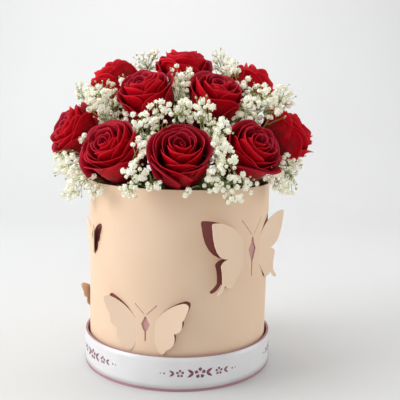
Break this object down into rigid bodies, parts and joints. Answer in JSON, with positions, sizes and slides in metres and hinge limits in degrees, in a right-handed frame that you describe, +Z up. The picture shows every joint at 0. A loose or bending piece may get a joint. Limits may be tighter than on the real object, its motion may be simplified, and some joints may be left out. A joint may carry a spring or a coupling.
{
  "type": "flower box",
  "caption": "Round flower box: a tray with a ribbon, a bucket in a die-cut sleeve with folding butterfly wings, and a lift-out arrangement of red roses and gypsophila.",
  "frame": {"origin": "centre of the tray's underside, on the surface the box stands on", "axes": "+Z up, -Y towards the front of the box, +X to the viewer's right from the front"},
  "size_m": [0.2633, 0.235, 0.3108],
  "materials": {
    "tray_board": "matte",
    "ribbon_satin": "satin",
    "sleeve_paper": "matte",
    "wing_paper": "matte",
    "bucket_board": "matte",
    "liner_film": "satin",
    "foam_block": "matte",
    "rose_petal": "satin",
    "stem_green": "matte",
    "gypsophila": "matte"
  },
  "bodies": {
    "tray": {"tray_floor": "tray_board", "tray_wall": "tray_board", "ribbon": "ribbon_satin", "ribbon_lap": "ribbon_satin"},
    "bucket": {"bucket_wall": "bucket_board", "bucket_floor": "bucket_board", "sleeve": "sleeve_paper", "sleeve_seam": "sleeve_paper"},
    "arrangement": {"liner": "liner_film", "foam": "foam_block", "rose_01": "rose_petal", "rose_02": "rose_petal", "rose_03": "rose_petal", "rose_04": "rose_petal", "rose_05": "rose_petal", "rose_06": "rose_petal", "rose_07": "rose_petal", "rose_08": "rose_petal", "rose_09": "rose_petal", "rose_10": "rose_petal", "rose_11": "rose_petal", "rose_12": "rose_petal", "rose_13": "rose_petal", "rose_14": "rose_petal", "rose_stem_01": "stem_green", "rose_stem_02": "stem_green", "rose_stem_03": "stem_green", "rose_stem_04": "stem_green", "rose_stem_05": "stem_green", "rose_stem_06": "stem_green", "rose_stem_07": "stem_green", "rose_stem_08": "stem_green", "rose_stem_09": "stem_green", "rose_stem_10": "stem_green", "rose_stem_11": "stem_green", "rose_stem_12": "stem_green", "rose_stem_13": "stem_green", "rose_stem_14": "stem_green", "gypsophila_1": "gypsophila", "gypsophila_2": "gypsophila", "gypsophila_3": "gypsophila", "gypsophila_4": "gypsophila", "gypsophila_5": "gypsophila", "gypsophila_6": "gypsophila", "gypsophila_7": "gypsophila", "gypsophila_8": "gypsophila"},
    "wing_a_left": {"wing_a_left": "wing_paper"},
    "wing_a_right": {"wing_a_right": "wing_paper"},
    "wing_b_left": {"wing_b_left": "wing_paper"},
    "wing_b_right": {"wing_b_right": "wing_paper"},
    "wing_c_left": {"wing_c_left": "wing_paper"},
    "wing_c_right": {"wing_c_right": "wing_paper"},
    "wing_d_left": {"wing_d_left": "wing_paper"},
    "wing_d_right": {"wing_d_right": "wing_paper"},
    "wing_e_left": {"wing_e_left": "wing_paper"},
    "wing_e_right": {"wing_e_right": "wing_paper"},
    "wing_f_left": {"wing_f_left": "wing_paper"},
    "wing_f_right": {"wing_f_right": "wing_paper"}
  },
  "joints": [
    {"name": "bucket_lift", "type": "slide", "parent": "tray", "child": "bucket", "axis": [0, 0, 1], "range_m": [0, 0.06]},
    {"name": "arrangement_lift", "type": "slide", "parent": "bucket", "child": "arrangement", "axis": [0, 0, 1], "range_m": [0, 0.2]},
    {"name": "wing_a_left_fold", "type": "hinge", "parent": "bucket", "child": "wing_a_left", "pos_m": [-0.03765, -0.08175, 0.1], "axis": [0, 0, 1], "range_deg": [-6, 69]},
    {"name": "wing_a_right_fold", "type": "hinge", "parent": "bucket", "child": "wing_a_right", "pos_m": [-0.02066, -0.0876, 0.1], "axis": [0, 0, -1], "range_deg": [-6, 69]},
    {"name": "wing_b_left_fold", "type": "hinge", "parent": "bucket", "child": "wing_b_left", "pos_m": [0.05953, -0.0675, 0.1], "axis": [0, 0, 1], "range_deg": [-4, 71]},
    {"name": "wing_b_right_fold", "type": "hinge", "parent": "bucket", "child": "wing_b_right", "pos_m": [0.07681, -0.0469, 0.1], "axis": [0, 0, -1], "range_deg": [-4, 71]},
    {"name": "wing_c_left_fold", "type": "hinge", "parent": "bucket", "child": "wing_c_left", "pos_m": [-0.08632, -0.02548, 0.1], "axis": [0, 0, 1], "range_deg": [-3, 72]},
    {"name": "wing_c_right_fold", "type": "hinge", "parent": "bucket", "child": "wing_c_right", "pos_m": [-0.0825, -0.03596, 0.1], "axis": [0, 0, -1], "range_deg": [-16, 59]},
    {"name": "wing_d_left_fold", "type": "hinge", "parent": "bucket", "child": "wing_d_left", "pos_m": [-0.08637, 0.0253, 0.1], "axis": [0, 0, 1], "range_deg": [-28, 47]},
    {"name": "wing_d_right_fold", "type": "hinge", "parent": "bucket", "child": "wing_d_right", "pos_m": [-0.08872, 0.01513, 0.1], "axis": [0, 0, -1], "range_deg": [-28, 47]},
    {"name": "wing_e_left_fold", "type": "hinge", "parent": "bucket", "child": "wing_e_left", "pos_m": [0.03166, 0.08425, 0.1], "axis": [0, 0, 1], "range_deg": [-4, 71]},
    {"name": "wing_e_right_fold", "type": "hinge", "parent": "bucket", "child": "wing_e_right", "pos_m": [0.00535, 0.08984, 0.1], "axis": [0, 0, -1], "range_deg": [-4, 71]},
    {"name": "wing_f_left_fold", "type": "hinge", "parent": "bucket", "child": "wing_f_left", "pos_m": [0.08099, 0.03924, 0.1], "axis": [0, 0, 1], "range_deg": [-25, 50]},
    {"name": "wing_f_right_fold", "type": "hinge", "parent": "bucket", "child": "wing_f_right", "pos_m": [0.0762, 0.04789, 0.1], "axis": [0, 0, -1], "range_deg": [-25, 50]}
  ]
}
